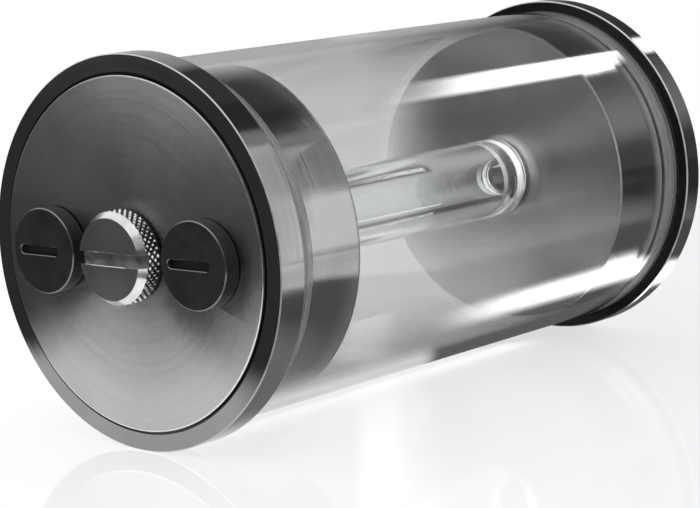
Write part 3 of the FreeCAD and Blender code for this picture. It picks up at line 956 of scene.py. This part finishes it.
studio_card("tent", dome, dome_paint)


def upright_card(name, across, along, length, bottom, top, material):
    """A card that stands parallel to the object's axis."""
    mesh = bmesh.new()
    bmesh.ops.create_grid(mesh, x_segments=1, y_segments=1, size=0.5)
    bmesh.ops.rotate(mesh, cent=(0, 0, 0), matrix=Matrix.Rotation(math.pi / 2, 3, "Y"), verts=mesh.verts)
    bmesh.ops.scale(mesh, vec=(1.0, length, top - bottom), verts=mesh.verts)
    bmesh.ops.translate(mesh, vec=(across, along, (bottom + top) / 2), verts=mesh.verts)
    studio_card(name, mesh, material)


# The right card is cut along a curve, so that the plug and the flange each mirror their own part of it.
white_paint, finish = new_material("white_card")
y, z = split(finish, finish.node("TexCoord", {}, {}, "Object"), "yz")
beyond = y - (z * 1.38 + 0.134) * z - 0.161
for_plug = beyond.span(0.006, 0.014, 0.05, 0.09)
for_flange = y.between(0.0, 0.05) - beyond.between(0.004, 0.012)
stripe = z.span(0.1, 0.12, 0.125, 0.145) * beyond.between(0.02, 0.04)
flange_lit = 1.0 - z.between(0.385, 0.395) * 0.65 - z.between(0.6, 0.65) * 0.35
lit = for_plug * (1.0 - z.between(0.1, 0.15)) + for_flange * flange_lit
card_paint(finish, for_plug * 0.6 + 1.0, lit * (1.0 - stripe))
upright_card("white_card", across=0.25, along=0.43, length=0.86, bottom=-0.037, top=0.66,
             material=white_paint)

left_paint, finish = new_material("left_card")
y, z = split(finish, finish.node("TexCoord", {}, {}, "Object"), "yz")
through = finish.math("MINIMUM", light_path(finish, "Transmission Depth"), 1.0)
spread = y.span(0.031, 0.038, 0.045, 0.055) * (1.0 - z.between(0.03, 0.05))
card_paint(finish, 1.4, spread * through)
upright_card("left_card", across=-0.0385, along=0.035, length=0.04, bottom=-0.036, top=0.05,
             material=left_paint)

box_paint, finish = new_material("softbox_cloth")
x, y = split(finish, finish.node("TexCoord", {}, {}, "Object"), "xy")
side = 1.0 - finish.math("ABSOLUTE", x - BOX_PLACE[0]).between(0.04, BOX_WIDTH / 2)
far_end = y.between(0.59, 0.625)
edge = x.between(0.0, 0.012) * (1.0 - x.between(0.012, 0.11))
box_level = side * (y.between(0.42, 0.52) - far_end) * BOX_GLOW + edge * far_end * BOX_EDGE_GLOW
card_paint(finish, box_level, 1.0)
softbox = bmesh.new()
bmesh.ops.create_grid(softbox, x_segments=1, y_segments=1, size=0.5)
bmesh.ops.scale(softbox, vec=(BOX_WIDTH, BOX_LENGTH, 1.0), verts=softbox.verts)
bmesh.ops.translate(softbox, vec=BOX_PLACE, verts=softbox.verts)
studio_card("softbox", softbox, box_paint)

lamp = bpy.data.lights.new("pipe_lamp", "AREA")
lamp.size = LAMP_SIZE
lamp.energy = LAMP_POWER
pipe_lamp = bpy.data.objects.new("pipe_lamp", lamp)
pipe_lamp.matrix_world = Matrix.LocRotScale(LAMP_PLACE, LAMP_PLACE.to_track_quat("Z", "Y"), None)
pipe_lamp.visible_glossy = False
pipe_lamp.visible_transmission = False
for link, pieces in (("receiver_collection", [flow_pipe]), ("blocker_collection", [front_cap, rear_cap])):
    group = bpy.data.collections.new("pipe_lamp_" + link)
    for piece in pieces:
        group.objects.link(piece)
    setattr(pipe_lamp.light_linking, link, group)
bpy.context.scene.collection.objects.link(pipe_lamp)

bpy.context.scene.view_settings.view_transform = "Standard"


# Camera. A long lens on a stand at the front right, a little above the object and rolled
# slightly, which gives the photograph's view.
AZIMUTH = math.radians(40.983)
ELEVATION = math.radians(9.367)
ROLL = math.radians(-2.8)
STAND = Vector((0.303472, -0.356757, 0.066867))
SENSOR_WIDTH = 36.0
FOCAL_LENGTH = 117.45

back = Vector((math.sin(AZIMUTH) * math.cos(ELEVATION),
               -math.cos(AZIMUTH) * math.cos(ELEVATION),
               math.sin(ELEVATION)))
level = Vector((math.cos(AZIMUTH), math.sin(AZIMUTH), 0.0))
above = back.cross(level)
right = math.cos(ROLL) * level + math.sin(ROLL) * above
top = math.cos(ROLL) * above - math.sin(ROLL) * level
lens = bpy.data.cameras.new("camera")
lens.sensor_width = SENSOR_WIDTH
lens.lens = FOCAL_LENGTH
camera = bpy.data.objects.new("camera", lens)
camera.matrix_world = Matrix.LocRotScale(STAND, Matrix((right, top, back)).transposed(), None)
bpy.context.scene.collection.objects.link(camera)
bpy.context.scene.camera = camera
